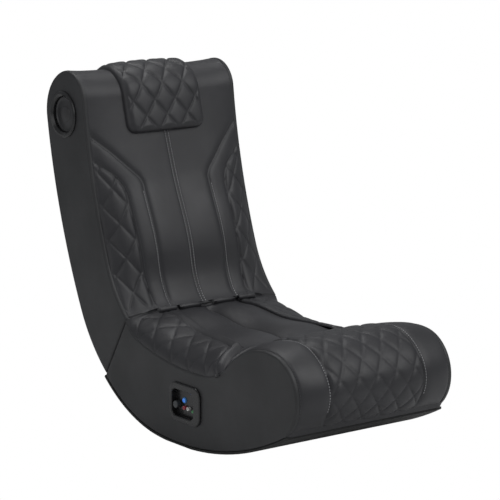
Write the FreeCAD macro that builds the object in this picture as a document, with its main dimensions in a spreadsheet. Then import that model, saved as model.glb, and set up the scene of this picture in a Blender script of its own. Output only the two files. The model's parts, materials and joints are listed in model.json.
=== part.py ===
# Gaming rocker chair: padded seat and folding padded back on a curved base.
# Millimetres. X runs across, Y to the rear, Z up. The origin is on the floor at the middle of the outline.
import FreeCAD, Part
import math
import os
import Sketcher

Vector = FreeCAD.Vector
doc = FreeCAD.newDocument("GamingRocker")
sheet = doc.addObject("Spreadsheet::Sheet", "Sizes")

# Driving dimensions
SIZES = (
    ("half_width", 215),
    ("side_pad", 10),
    ("seat_board", 18),
    ("back_board", 12),
    ("rail_thick", 18),
    ("back_rail_thick", 15),
    ("front_board_thick", 30),
    ("deck_thick", 15),
    ("base_cover_thick", 5),
    ("rocker_board_thick", 9),
    ("back_foam", 18),
    ("support_thick", 2.5),
    ("rear_cover_thick", 2.5),
    ("rear_panel_thick", 2.5),
    ("fit_gap", 0.3),
    ("hinge_barrel", 3.5),
    ("hinge_pin_radius", 2),
    ("hinge_width", 60),
    ("hinge_pitch", 108),
    ("leaf_length", 44),
    ("leaf_thick", 1.5),
    ("speaker_outer", 54),
    ("speaker_spigot", 46.5),
    ("speaker_y", 405),
    ("speaker_z", 689),
    ("headrest_half", 108),
    ("headrest_thick", 12),
    ("panel_face", 207),
    ("plate_thick", 2.5),
    ("board_face", 186.4),
    ("board_thick", 1.6),
    ("knob_radius", 8.5),
    ("button_radius", 6.5),
    ("button_travel", 1.5),
)
for row, (alias, amount) in enumerate(SIZES, start=1):
    sheet.set("A%d" % row, alias.replace("_", " "))
    sheet.set("B%d" % row, str(amount))
    sheet.setAlias("B%d" % row, alias)
doc.recompute()


class Size:
    """A length together with the spreadsheet text that gives it."""

    def __init__(self, value, text):
        self.value = float(value)
        self.text = text

    def __add__(self, other):
        return Size(self.value + number(other), "(%s + %s)" % (self.text, words(other)))

    def __sub__(self, other):
        return Size(self.value - number(other), "(%s - %s)" % (self.text, words(other)))

    def __mul__(self, other):
        return Size(self.value * number(other), "(%s * %s)" % (self.text, words(other)))

    def __neg__(self):
        return Size(-self.value, "(0 - %s)" % self.text)


def number(value):
    return value.value if isinstance(value, Size) else float(value)


def words(value):
    return value.text if isinstance(value, Size) else "%.6g" % value


def size(alias):
    return Size(getattr(sheet, alias), "Sizes.%s" % alias)


HALF = size("half_width")
SIDE_IN = HALF - size("side_pad")
SEAT_IN = SIDE_IN - size("seat_board")
BACK_IN = SIDE_IN - size("back_board")
GAP = number(size("fit_gap"))
NODES = {}

# Side outlines: start (y, z), heading in degrees from the rear toward up, and runs of (radius, turn).
# A positive turn is to the left. A radius of nought is a straight run of that length.
LEAD = 40
CREASE = (155.0, 250.0)
BACK_ARCS = ((287, 27.8), (1564, 13.9), (68, -101.4), (101.7, -80.7), (1582, -16.6), (391, -24.5))
SEAT_ARCS = ((72, -49.5), (705, -20.5), (151, -42.2), (183, 53.9), (93.5, 128.3))
BASE_ARCS = ((385, -34.6), (822, -33.9))
FRAME_RUNS = ((72, -49.5), (705, -20.5), (0, 305))


def direction(angle):
    return Vector(0, math.cos(math.radians(angle)), math.sin(math.radians(angle)))


class Outline:
    """Run of tangent arcs in the YZ plane with a straight lead in; side is +1 where the inside lies left."""

    def __init__(self, start, heading, runs, side, lead_out=0):
        self.start = Vector(0, *start) - direction(heading) * LEAD
        self.heading = heading
        self.runs = ((0, LEAD),) + tuple(runs) + (((0, lead_out),) if lead_out else ())
        self.side = side

    def pieces(self, depth=0.0):
        """Start, middle, end and the two headings of each run, moved inward by the depth."""
        shift = self.side * depth
        point, heading, found = self.start, self.heading, []
        for radius, amount in self.runs:
            if radius:
                turn = math.copysign(1, amount)
                centre = point + direction(heading + 90) * (radius * turn)
                angles = [heading + amount * part for part in (0, 0.5, 1)]
                points = [centre - direction(a + 90) * (radius * turn - shift) for a in angles]
                point = centre - direction(angles[2] + 90) * (radius * turn)
                heading = angles[2]
            else:
                across = direction(heading + 90) * shift
                points = [point + across + direction(heading) * (amount * part) for part in (0, 0.5, 1)]
                point = point + direction(heading) * amount
                angles = [heading] * 3
            found.append((points, angles[0], angles[2], radius))
        return found


BACK = Outline(CREASE, 41.6, BACK_ARCS, -1, LEAD)
SEAT = Outline(CREASE, -112.8, SEAT_ARCS, 1)
FRAME = Outline(CREASE, -112.8, FRAME_RUNS, 1)
BASE = Outline((239.3, 90.65), -140, BASE_ARCS, -1, 30)


def edge(points, radius):
    if radius:
        return Part.Arc(*points).toShape()
    return Part.LineSegment(points[0], points[2]).toShape()


def closed_face(edges):
    """Face of a run of edges, closed with straight lines wherever an edge doesn't start at the last end."""
    whole = []
    first = edges[0].Vertexes[0].Point
    for item, following in zip(edges, edges[1:] + [None]):
        whole.append(item)
        end = item.Vertexes[-1].Point
        start = following.Vertexes[0].Point if following else first
        if (end - start).Length > 1e-6:
            whole.append(Part.LineSegment(end, start).toShape())
    return Part.Face(Part.Wire(whole))


def backward(pieces):
    return [edge(points[::-1], radius) for points, _, _, radius in pieces[::-1]]


def forward(pieces):
    return [edge(points, radius) for points, _, _, radius in pieces]


def band(outline, near, far, first=0, last=None):
    """Zone between two depths under an outline."""
    outer = outline.pieces(near)[first:last]
    inner = outline.pieces(far)[first:last]
    return closed_face(forward(outer) + backward(inner))


def polygon(points):
    return Part.Face(Part.makePolygon(list(points) + [points[0]]))


def block(y0, z0, y1, z1):
    return polygon([Vector(0, y0, z0), Vector(0, y1, z0), Vector(0, y1, z1), Vector(0, y0, z1)])


def largest(shape):
    return max(shape.Faces, key=lambda face: face.Area)


# Split between seat and back: a plane through the hinge axis
AXIS = Vector(0, 148.5, 258.5)
DOWN = Vector(0, 0.5177, -0.8555)
REAR = Vector(0, 0.8555, 0.5177)


def split_zone(low, high, near=-900, far=900):
    """Zone between two distances behind the split plane, from near to far down along it."""
    corners = ((low, near), (high, near), (high, far), (low, far))
    return polygon([AXIS + REAR * u + DOWN * v for u, v in corners])


def back_region(depth):
    face = closed_face(forward(BACK.pieces(depth)))
    return largest(face.cut(split_zone(-900, 0.5)))


def seat_region(top, top_depth, base_depth, front=None):
    """Side view zone between a top outline and the base outline, in front of the split."""
    upper = forward(top.pieces(top_depth))
    lower = backward(BASE.pieces(base_depth)[:None if front else -1])
    face = closed_face(upper + lower)
    face = largest(face.cut(split_zone(-0.5, 900)))
    if front:
        face = largest(face.cut(block(-700, -50, front, 500)))
    return face


def place(obj, x, y, z, rotation=None):
    obj.Placement = FreeCAD.Placement(Vector(number(x), number(y), number(z)), rotation or FreeCAD.Rotation())
    for letter, value in (("x", x), ("y", y), ("z", z)):
        if isinstance(value, Size):
            obj.setExpression("Placement.Base." + letter, value.text)
    return obj


def bind(obj, name, value):
    if isinstance(value, Size):
        obj.setExpression(name, value.text)
    else:
        setattr(obj, name, value)


def feature(name, shape):
    obj = doc.addObject("Part::Feature", name)
    obj.Shape = shape
    return obj


def slab(name, face, x, width):
    """Side view face pulled along X from x over a width."""
    obj = doc.addObject("Part::Extrusion", name)
    obj.Base = feature(name + "_outline", face)
    obj.DirMode = "Custom"
    obj.Dir = Vector(1, 0, 0)
    obj.Solid = True
    bind(obj, "LengthFwd", width)
    return place(obj, x, 0, 0)


def cut(obj, shapes):
    """The object with a list of shapes taken out of it."""
    tool = feature(obj.Name + "_tool", Part.makeCompound(shapes))
    result = doc.addObject("Part::Cut", obj.Name + "_cut")
    result.Base = obj
    result.Tool = tool
    return result


def node(name, obj):
    obj.Label = name
    NODES[name] = obj
    return obj


def solid(face, x0, x1):
    moved = face.copy()
    moved.translate(Vector(number(x0), 0, 0))
    return moved.extrude(Vector(number(x1) - number(x0), 0, 0))


def side_name(name, side):
    return "%s_%s" % (name, "right" if side > 0 else "left")


def side_slab(name, face, side, near, thick):
    """Slab beside the middle plane, from near outward over its thickness."""
    start = near if side > 0 else -(near + thick)
    return slab(name, face, start, thick)


def rod(point, axis, radius, length):
    return Part.makeCylinder(radius, length, point, axis)


def screw(point, axis, shank, length, head, head_height):
    """Screw whose head face lies at the point; the axis points in."""
    body = rod(point, axis, shank, length)
    return body.fuse(rod(point, axis, head, head_height)).removeSplitter()


# Screws of the two frames: (y, z) of each rail end
SEAT_JOINTS = ((166.6, 211), (205.4, 146.8), (-150, 152), (-150, 118), (-425, 164), (-425, 130))
BACK_JOINTS = ((178.3, 224), (217.2, 159.8), (271.3, 385), (280.1, 410), (330.2, 601.4), (333.6, 618.4))
SCREW_SHANK = 2.0
SCREW_HEAD = 4.0


def frame_screws(joints, side):
    face = number(SIDE_IN)
    made = []
    for y, z in joints:
        made.append(screw(Vector(side * face, y, z), Vector(-side, 0, 0), SCREW_SHANK, 40, SCREW_HEAD, 2.5))
    return made


def screw_holes(joints, side):
    face = number(SIDE_IN) + 0.2
    made = []
    for y, z in joints:
        point = Vector(side * face, y, z)
        made.append(screw(point, Vector(-side, 0, 0), SCREW_SHANK + 0.1, 40.5, SCREW_HEAD + 0.1, 2.9))
    return made


# Seat frame
def seat_frame():
    frame_face = seat_region(FRAME, 0, number(size("base_cover_thick") + size("rocker_board_thick")), -440)
    under_deck = seat_region(FRAME, number(size("deck_thick")),
                             number(size("base_cover_thick") + size("rocker_board_thick")), -440)
    all_holes = screw_holes(SEAT_JOINTS, 1) + screw_holes(SEAT_JOINTS, -1)
    panel_hole = solid(rounded(PANEL_HOLE, 17), -210, -180)
    for side in (-1, 1):
        board = side_slab(side_name("SeatSideBoard", side), frame_face, side, SEAT_IN, size("seat_board"))
        tools = screw_holes(SEAT_JOINTS, side) + ([panel_hole] if side < 0 else [])
        node(side_name("seat_side_board", side), cut(board, tools))
    thick = number(size("rail_thick"))
    rear_zone = split_zone(-0.15 - thick, -0.15, 22, 400)
    rear_face = largest(frame_face.common(rear_zone))
    rear = slab("SeatRearRail", rear_face, -SEAT_IN, SEAT_IN * 2)
    node("seat_rear_rail", cut(rear, all_holes + leaf_recesses(-1)))
    mid_face = largest(under_deck.common(block(-159, 98, -141, 400)))
    node("seat_mid_rail", cut(slab("SeatMidRail", mid_face, -SEAT_IN, SEAT_IN * 2), all_holes))
    front_edge = -440 + number(size("front_board_thick"))
    front_face = largest(under_deck.common(block(-440, 0, front_edge, 400)))
    node("seat_front_board", cut(slab("SeatFrontBoard", front_face, -SEAT_IN, SEAT_IN * 2), all_holes))
    deck_face = band(FRAME, 0, number(size("deck_thick")), 1)
    deck_face = largest(deck_face.cut(split_zone(-0.15 - thick - 0.1, 900)))
    deck_face = largest(deck_face.cut(block(-700, -50, -440, 500)))
    node("seat_deck", slab("SeatDeck", deck_face, -SEAT_IN, SEAT_IN * 2))
    node("roll_core", slab("RollCore", roll_core_face(0), -SEAT_IN, SEAT_IN * 2))
    node("seat_frame_screws", feature("SeatFrameScrews", Part.makeCompound(
        frame_screws(SEAT_JOINTS, 1) + frame_screws(SEAT_JOINTS, -1))))


def roll_core_face(grow):
    """Side view of the wooden riser inside the front roll, grown all round for the foam's clearance."""
    core = closed_face(forward(FRAME.pieces(-ROLL_CORE[2] - grow)[1:]) + backward(FRAME.pieces(0)[1:]))
    return largest(core.common(block(ROLL_CORE[0] - grow, 0, ROLL_CORE[1] + grow, 500)))


def base():
    cover = number(size("base_cover_thick"))
    board = cover + number(size("rocker_board_thick"))
    ends = (split_zone(-0.5, 900), block(-700, -50, -440, 500))
    board_face = band(BASE, cover, board)
    cover_face = band(BASE, 0, cover).cut(block(-700, -50, 700, 0))
    for end in ends:
        board_face = largest(board_face.cut(end))
        cover_face = largest(cover_face.cut(end))
    node("rocker_board", slab("RockerBoard", board_face, -SIDE_IN, SIDE_IN * 2))
    node("base_cover", slab("BaseCover", cover_face, -HALF, HALF * 2))


def seat_side_pads():
    face = seat_region(SEAT, 0, number(size("base_cover_thick")))
    for side in (-1, 1):
        pad = side_slab(side_name("SeatSidePad", side), face, side, SIDE_IN, size("side_pad"))
        tools = [solid(rounded(PANEL_HOLE, 17), -230, -200)] + bezel_screws(0.1) if side < 0 else []
        pad = cut(pad, tools) if tools else pad
        doc.recompute()
        node(side_name("seat_side_pad", side), round_outer(pad, side, 5))


def round_outer(obj, side, radius):
    """Rounds the edges of the outer face of a side pad."""
    face = max(obj.Shape.Faces, key=lambda f: side * f.CenterOfMass.x if f.Area > 5000 else -9999)
    names = []
    for index, item in enumerate(obj.Shape.Edges, start=1):
        if any(item.isSame(other) for other in face.OuterWire.Edges):
            names.append((index, radius, radius))
    result = doc.addObject("Part::Fillet", obj.Name + "_round")
    result.Base = obj
    result.Edges = names
    return result


# Rear and front of the riser in the roll, and its height over the deck
ROLL_CORE = (-422, -262, 36)

# Padding: heights above the side outline at the start, middle and end of each arc
BACK_CROWN = (10.7, 23.3, 39.5, 25, 1, -5, -5, -5, -4)
BACK_SHARE = ((0, 0.95), (92, 1.0), (140, 0.85), (180, 0.5), (205, 0.08))
SEAT_CROWN = ((-8, 7.8), (0, 28), (0, 42), (0, 56), (0, 62.6), (0, 49), (0, 29.7), (0, 13.5), (0, 13),
              (-15.7, 0), (0, 0))
SEAT_SHARE = ((0, 1.0), (92, 1.0), (120, 0.98), (160, 0.74), (190, 0.42), (205, 0.14), (215, 0.02))
PAD_SHARE = ((0, 1.0), (70, 1.0), (95, 0.8), (108, 0.35))
WING_RISE = ((0, 5.0), (190, 5.0), (205, 2.0), (215, 0))


def share(table, x):
    """Value of a table of (place, value) at a place, straight between its entries."""
    x = abs(x)
    for (x0, v0), (x1, v1) in zip(table, table[1:]):
        if x <= x1:
            return v0 + (v1 - v0) * (x - x0) / (x1 - x0)
    return table[-1][1]


def shown_points(outline, count):
    """Start, middle and end of the first arcs of an outline, each with its heading."""
    found = []
    for points, start, end, _ in outline.pieces()[1:1 + count]:
        middle = (start + end) / 2
        fresh = list(zip(points, (start, middle, end)))
        found += fresh if not found else fresh[1:]
    return found


def arcs_through(points):
    made = []
    for index in range(0, len(points) - 2, 2):
        made.append(Part.Arc(*points[index:index + 3]).toShape())
    return made


def section(x, lead, points, inside):
    """Closed wire of one cross section at x."""
    edges = [Part.LineSegment(lead, points[0]).toShape()] + arcs_through(points)
    for start, end in zip([points[-1]] + inside, inside + [lead]):
        edges.append(Part.LineSegment(start, end).toShape())
    wire = Part.Wire(edges)
    wire.translate(Vector(x, 0, 0))
    return wire


def back_form(places, thick=None):
    """Solid bounded by the padded front and top of the back; thick adds a height by place."""
    inside = [Vector(0, 421, 683), Vector(0, 300, 363), Vector(0, 205, 175)]
    wires = []
    for x in places:
        weight = share(BACK_SHARE, x)
        extra = thick(x) if thick else 0
        points = []
        for (point, heading), height in zip(shown_points(BACK, 4), BACK_CROWN):
            points.append(point + direction(heading + 90) * (height * weight + extra))
        lead = points[0] - direction(41.6) * 12
        wires.append(section(x, lead, points, inside))
    return Part.makeLoft(wires, True, False)


def seat_form(places, rise=None):
    """Solid bounded by the padded top and front of the seat."""
    inside = [Vector(0, -400, 95), Vector(0, 60, 95), Vector(0, 190, 205)]
    wires = []
    for x in places:
        weight = share(SEAT_SHARE, x)
        extra = rise(x) if rise else 0
        points = []
        for (point, _), (dy, dz) in zip(shown_points(SEAT, 5), SEAT_CROWN):
            points.append(point + Vector(0, dy * weight, dz * weight + (extra if dz > 20 else 0)))
        lead = points[0] + Vector(0, 11, 3)
        wires.append(section(x, lead, points, inside))
    return Part.makeLoft(wires, True, False)


def wall(points, width, plane, low, high):
    """Thin upright walls along a run of points, drawn in the XZ or XY plane and pulled along the third axis."""
    made = []
    for (a0, b0), (a1, b1) in zip(points, points[1:]):
        length = math.hypot(a1 - a0, b1 - b0)
        along = ((a1 - a0) / length, (b1 - b0) / length)
        ends = ((a0 - along[0] * width * 0.3, b0 - along[1] * width * 0.3),
                (a1 + along[0] * width * 0.3, b1 + along[1] * width * 0.3))
        across = (-along[1] * width / 2, along[0] * width / 2)
        corners = []
        for (a, b), sign in ((ends[0], 1), (ends[1], 1), (ends[1], -1), (ends[0], -1)):
            corners.append((a + across[0] * sign, b + across[1] * sign))
        if plane == "XZ":
            face = polygon([Vector(a, low, b) for a, b in corners])
            made.append(face.extrude(Vector(0, high - low, 0)))
        else:
            face = polygon([Vector(a, b, low) for a, b in corners])
            made.append(face.extrude(Vector(0, 0, high - low)))
    return made


def both_sides(points):
    return [points, [(-a, b) for a, b in points]]


def groove(shape, lines, width, depth, plane, low, high, inward):
    """Cuts channels of one depth into a padded solid along lines."""
    deeper = shape.copy()
    deeper.translate(inward * depth)
    skin = shape.cut(deeper)
    walls = []
    for points in lines:
        walls += wall(points, width, plane, low, high)
    channels = [skin.common(item) for item in walls]
    result = shape.cut([item for item in channels if item.Volume > 1])
    return max(result.Solids, key=lambda item: item.Volume)


BACK_INNER_SEAM = [(90, 262), (92, 535), (112, 562), (212, 655)]
BACK_OUTER_SEAM = [(134, 262), (140, 515), (160, 556), (212, 598)]
BACK_BACKWARD = Vector(0, 0.93, -0.36)


def back_quilt():
    """Slanting lines of the two outer bands of the back, inside the outer seam."""
    lines = []
    for step in range(-1, 6):
        z = 262 + 76 * step
        lines.append([(142, z + 20), (205, z + 20 + 88)])
        lines.append([(142, z + 88 + 20), (205, z + 20)])
    clipped = []
    for (x0, z0), (x1, z1) in lines:
        if min(z0, z1) > 250 and max(z0, z1) < 595:
            clipped.append([(x0, z0), (x1, z1)])
    return clipped


def back_cushion_end():
    """Clears the lower end of the head bulge, where the rear cover and the rear panel begin."""
    end, heading = shown_points(BACK, 4)[-1]
    ahead, inward = direction(heading), direction(heading - 90)
    near, far = end - inward * 20 - ahead * GAP, end + inward * 80 - ahead * GAP
    return solid(polygon([near, far, far + ahead * 60, near + ahead * 60]), -230, 230)


def back_cushion():
    edge_x = number(SIDE_IN) - GAP
    places = [-edge_x, -178, -140, -92, 0, 92, 140, 178, edge_x]
    form = back_form(places)
    foam = number(size("back_foam"))
    form = form.cut(solid(closed_face(forward(BACK.pieces(foam))), -230, 230))
    form = form.cut([back_cushion_end(),
                     solid(split_zone(-600, 2.0), -230, 230),
                     solid(split_zone(-600, 15.45, 21.7, 600), -230, 230),
                     rod(AXIS - Vector(230, 0, 0), Vector(1, 0, 0), 9, 460)])
    form = max(form.Solids, key=lambda item: item.Volume)
    seams = both_sides(BACK_INNER_SEAM) + both_sides(BACK_OUTER_SEAM) + [[(0, 270), (0, 640)]]
    form = groove(form, seams, 6, 5, "XZ", 100, 420, BACK_BACKWARD)
    quilt = []
    for line in back_quilt():
        quilt += both_sides(line)
    form = groove(form, quilt, 4, 3, "XZ", 100, 420, BACK_BACKWARD)
    node("back_cushion", feature("BackCushion", form))


def headrest_pad():
    half = number(size("headrest_half"))
    thick = number(size("headrest_thick"))
    places = [-half, -95, -70, -35, 0, 35, 70, 95, half]
    form = back_form(places, lambda x: thick * share(PAD_SHARE, x))
    under = back_form([-120, -90, -45, 0, 45, 90, 120], lambda x: GAP)
    front = rounded_box(-half, 645, half, 900, 24, 250, 430)
    rear = rounded_box(-half, 700, half, 900, 24, 430, 560)
    window = front.fuse(rear)
    form = form.common(window).cut(under)
    form = max(form.Solids, key=lambda item: item.Volume)
    quilt = []
    for step in (-1, 0, 1):
        quilt += [[(54 * step - 48, 650), (54 * step + 12, 735)], [(54 * step + 48, 650), (54 * step - 12, 735)]]
    form = groove(form, quilt, 4, 3, "XZ", 250, 400, Vector(0, 0.9, -0.3))
    node("headrest_pad", feature("HeadrestPad", form))


def rounded_box(x0, z0, x1, z1, radius, y0, y1):
    """Box with rounded lower corners seen from the front."""
    box = Part.makeBox(x1 - x0, y1 - y0, z1 - z0, Vector(x0, y0, z0))
    edges = [item for item in box.Edges if item.BoundBox.ZMax < z0 + 1 and item.BoundBox.YLength > 5]
    return box.makeFillet(radius, edges)


def wing_prism(side, grow):
    corners = [(90 - grow, 185), (130 - grow, -168), (139 - grow, -181 - grow), (218, -212 - grow), (218, 185)]
    face = polygon([Vector(side * x, y, 100) for x, y in corners])
    return face.extrude(Vector(0, 0, 250))


def seat_padding():
    edge_x = number(SIDE_IN) - GAP
    places = [-edge_x, -188, -160, -120, 0, 120, 160, 188, edge_x]
    form = seat_form(places)
    frame_face = closed_face(forward(FRAME.pieces(-GAP)) + [Part.LineSegment(
        Vector(0, -440 - GAP, -50), Vector(0, 300, -50)).toShape()])
    frame_face = largest(frame_face.cut(block(-900, -100, -440 - GAP, 500)))
    under = solid(frame_face, -230, 230)
    hinge_room = [solid(split_zone(-2.0, 900), -230, 230),
                  solid(split_zone(-18.45, 900, 21.7, 600), -230, 230),
                  rod(AXIS - Vector(230, 0, 0), Vector(1, 0, 0), 9, 460)]
    wings_cut = [wing_prism(-1, 0.5), wing_prism(1, 0.5)]
    core = solid(roll_core_face(GAP), -number(SEAT_IN) - GAP, number(SEAT_IN) + GAP)
    whole = form.cut([under, core] + hinge_room + wings_cut)
    front_box = Part.makeBox(500, 400, 400, Vector(-250, -595.5, 0))
    rear_box = Part.makeBox(500, 400, 400, Vector(-250, -194.9, 0))
    cushion = max(whole.common(rear_box).Solids, key=lambda item: item.Volume)
    cushion = groove(cushion, [[(0, 135), (0, -190)]], 8, 6, "XY", 100, 400, Vector(0, 0, -1))
    node("seat_cushion", feature("SeatCushion", cushion))
    front_roll(max(whole.common(front_box).Solids, key=lambda item: item.Volume))
    for side in (-1, 1):
        seat_wing(side, under, hinge_room)


def front_roll(form):
    """Front roll with its two seams and the crossed lines of its quilted middle."""
    forward_in = Vector(0, 0.8, -0.6)
    seams = both_sides([(128, 112), (128, 300)])
    form = groove(form, seams, 6, 5, "XZ", -560, -240, forward_in)
    quilt = []
    for step in (-2, -1, 0, 1, 2):
        x = 48 * step
        if step > -2:
            quilt.append([(x - 60, 118), (x + 24, 250)])
        if step < 2:
            quilt.append([(x + 60, 118), (x - 24, 250)])
    form = groove(form, quilt, 4, 3, "XZ", -560, -400, Vector(0, 1, 0))
    node("front_roll", feature("FrontRoll", form))


def seat_wing(side, under, hinge_room):
    outer = number(HALF) - GAP
    places = [84, 110, 140, 170, 190, 203, outer]
    form = seat_form([side * x for x in places], lambda x: share(WING_RISE, x))
    cover_face = closed_face(forward(SEAT.pieces(-GAP)) + [Part.LineSegment(
        Vector(0, -440, 0), Vector(0, 300, 0)).toShape()])
    cover_near, cover_far = sorted((side * (number(SIDE_IN) - GAP), side * 230))
    form = form.common(wing_prism(side, 0))
    form = form.cut([under, solid(cover_face, cover_near, cover_far)] + hinge_room)
    form = max(form.Solids, key=lambda item: item.Volume)
    quilt = []
    for step in range(0, 5):
        y = 110 - 66 * step
        quilt += [[(side * 150, y), (side * 212, y - 62)], [(side * 150, y - 62), (side * 212, y)]]
    form = groove(form, quilt, 4, 3, "XY", 100, 400, Vector(0, 0, -1))
    node(side_name("seat_wing", side), feature(side_name("SeatWing", side), form))


# Back frame
def back_frame():
    foam = number(size("back_foam"))
    behind = foam + number(size("support_thick"))
    cover = number(size("rear_cover_thick"))
    shell = cover + number(size("rear_panel_thick"))
    thick = number(size("back_rail_thick"))
    front = band(BACK, 0, behind, 0, 5)
    board_face = largest(back_region(shell).cut(front))
    window = lightening_holes()
    all_holes = screw_holes(BACK_JOINTS, 1) + screw_holes(BACK_JOINTS, -1)
    for side in (-1, 1):
        board = side_slab(side_name("BackSideBoard", side), board_face, side, BACK_IN, size("back_board"))
        tools = screw_holes(BACK_JOINTS, side) + [speaker_bore(side, 47)] + window
        node(side_name("back_side_board", side), cut(board, tools))
    rail_face = largest(board_face.common(split_zone(0.15, 0.15 + thick, 22, 400)))
    rail = slab("BackBottomRail", rail_face, -BACK_IN, BACK_IN * 2)
    node("back_bottom_rail", cut(rail, all_holes + leaf_recesses(1)))
    strip = band(BACK, behind + 0.1, behind + 16, 1, 4)
    for name, low, high in (("BackLumbarRail", 372, 424), ("BackShoulderRail", 590, 628)):
        face = largest(strip.common(block(150, low, 600, high)))
        label = "back_lumbar_rail" if low < 500 else "back_shoulder_rail"
        node(label, cut(slab(name, face, -BACK_IN, BACK_IN * 2), all_holes))
    panel_face = band(BACK, foam + 0.1, behind, 1, 5).cut(split_zone(-600, 0.15 + thick + 0.2))
    node("back_support_panel", slab("BackSupportPanel", largest(panel_face), -SIDE_IN, SIDE_IN * 2))
    rear_face = largest(band(BACK, cover, shell, 5).cut(split_zone(-600, 0.5)))
    node("back_rear_panel", slab("BackRearPanel", rear_face, -SIDE_IN, SIDE_IN * 2))
    cover_face = largest(band(BACK, 0, cover - 0.1, 5).cut(split_zone(-600, 0.5)))
    node("back_rear_cover", slab("BackRearCover", cover_face, -SIDE_IN, SIDE_IN * 2))
    node("back_frame_screws", feature("BackFrameScrews", Part.makeCompound(
        frame_screws(BACK_JOINTS, 1) + frame_screws(BACK_JOINTS, -1))))


def lightening_holes():
    """Round openings in the side boards that save weight."""
    made = []
    for y, z, radius in ((262, 260, 26), (306, 330, 22), (352, 470, 30), (380, 545, 30)):
        made.append(rod(Vector(-260, y, z), Vector(1, 0, 0), radius, 520))
    return made


def speaker_bore(side, radius):
    point = Vector(side * 180, number(size("speaker_y")), number(size("speaker_z")))
    return rod(point, Vector(side, 0, 0), radius, 60)


def back_side_pads():
    face = back_region(0)
    for side in (-1, 1):
        pad = side_slab(side_name("BackSidePad", side), face, side, SIDE_IN, size("side_pad"))
        pad = cut(pad, [speaker_bore(side, 47)] + speaker_screws(side, 0.1))
        doc.recompute()
        node(side_name("back_side_pad", side), round_outer(pad, side, 5))


# Hinges
def split_block(x0, x1, low, high, near, far):
    return solid(split_zone(low, high, near, far), x0, x1)


def hinge_places():
    pitch = number(size("hinge_pitch"))
    return (-pitch, 0, pitch)


def leaf_recesses(side):
    """Pockets and screw holes for the leaves in the split face of a rail; side is +1 for the back."""
    half = number(size("hinge_width")) / 2 + GAP
    low, high = sorted((0, side * 2.0))
    made = []
    for middle in hinge_places():
        made.append(split_block(middle - half, middle + half, low, high, 10, number(size("leaf_length")) + GAP))
        for spot in hinge_screw_spots(middle):
            made.append(rod(spot, REAR * side, 1.8, 16))
    return made


def hinge_screw_spots(middle):
    return [AXIS + Vector(middle + x, 0, 0) + DOWN * v for x, v in ((-20, 32), (0, 37), (20, 32))]


def hinges():
    radius = number(size("hinge_barrel"))
    pin = number(size("hinge_pin_radius"))
    half = number(size("hinge_width")) / 2
    length = number(size("leaf_length"))
    thick = number(size("leaf_thick"))
    third = half * 0.36
    for side, name in ((-1, "hinge_leaves_seat"), (1, "hinge_leaves_back")):
        leaves, screws = [], []
        low, high = sorted((side * 0.25, side * (0.25 + thick)))
        for middle in hinge_places():
            if side < 0:
                parts = ((middle - half, middle - third), (middle + third, middle + half))
            else:
                parts = ((middle - third + 0.2, middle + third - 0.2),)
            leaf = split_block(middle - half, middle + half, low, high, radius + 0.8, length)
            for x0, x1 in parts:
                leaf = leaf.fuse(split_block(x0, x1, low, high, 0, radius + 1))
                leaf = leaf.fuse(rod(AXIS + Vector(x0, 0, 0), Vector(1, 0, 0), radius, x1 - x0))
            clear = pin + (0.02 if side < 0 else 0.06)
            tools = [rod(AXIS + Vector(middle - 40, 0, 0), Vector(1, 0, 0), clear, 80)]
            for spot in hinge_screw_spots(middle):
                tools.append(rod(spot, REAR * side, 1.8, 4))
                tools.append(rod(spot, REAR * side, 3.3, 0.25 + 0.8))
                screws.append(screw(spot + REAR * (side * 0.3), REAR * side, 1.7, 14, 3.2, 0.7))
            leaves.append(leaf.cut(tools).removeSplitter())
        node(name, feature(name.title().replace("_", ""), Part.makeCompound(leaves)))
        label = "hinge_screws_seat" if side < 0 else "hinge_screws_back"
        node(label, feature(label.title().replace("_", ""), Part.makeCompound(screws)))
    pins = [rod(AXIS + Vector(middle - half, 0, 0), Vector(1, 0, 0), pin, half * 2) for middle in hinge_places()]
    node("hinge_pins", feature("HingePins", Part.makeCompound(pins)))
    gusset()


def gusset():
    """Strip of cover over the hinges at the bottom of the crease."""
    half = size("hinge_pitch") + 36
    def at(radius, angle):
        return AXIS + direction(angle) * radius
    edges = [Part.LineSegment(at(8.8, 45), at(6.6, 49)).toShape(),
             Part.Arc(at(6.6, 49), at(6.6, 125), at(6.6, 201)).toShape(),
             Part.LineSegment(at(6.6, 201), at(8.8, 205)).toShape(),
             Part.LineSegment(at(8.8, 205), at(8.8, 212)).toShape(),
             Part.LineSegment(at(8.8, 212), at(5.6, 207)).toShape(),
             Part.Arc(at(5.6, 207), at(5.6, 125), at(5.6, 43)).toShape(),
             Part.LineSegment(at(5.6, 43), at(8.8, 38)).toShape(),
             Part.LineSegment(at(8.8, 38), at(8.8, 45)).toShape()]
    face = Part.Face(Part.Wire(edges))
    node("crease_gusset", slab("CreaseGusset", face, -half, half * 2))


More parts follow.
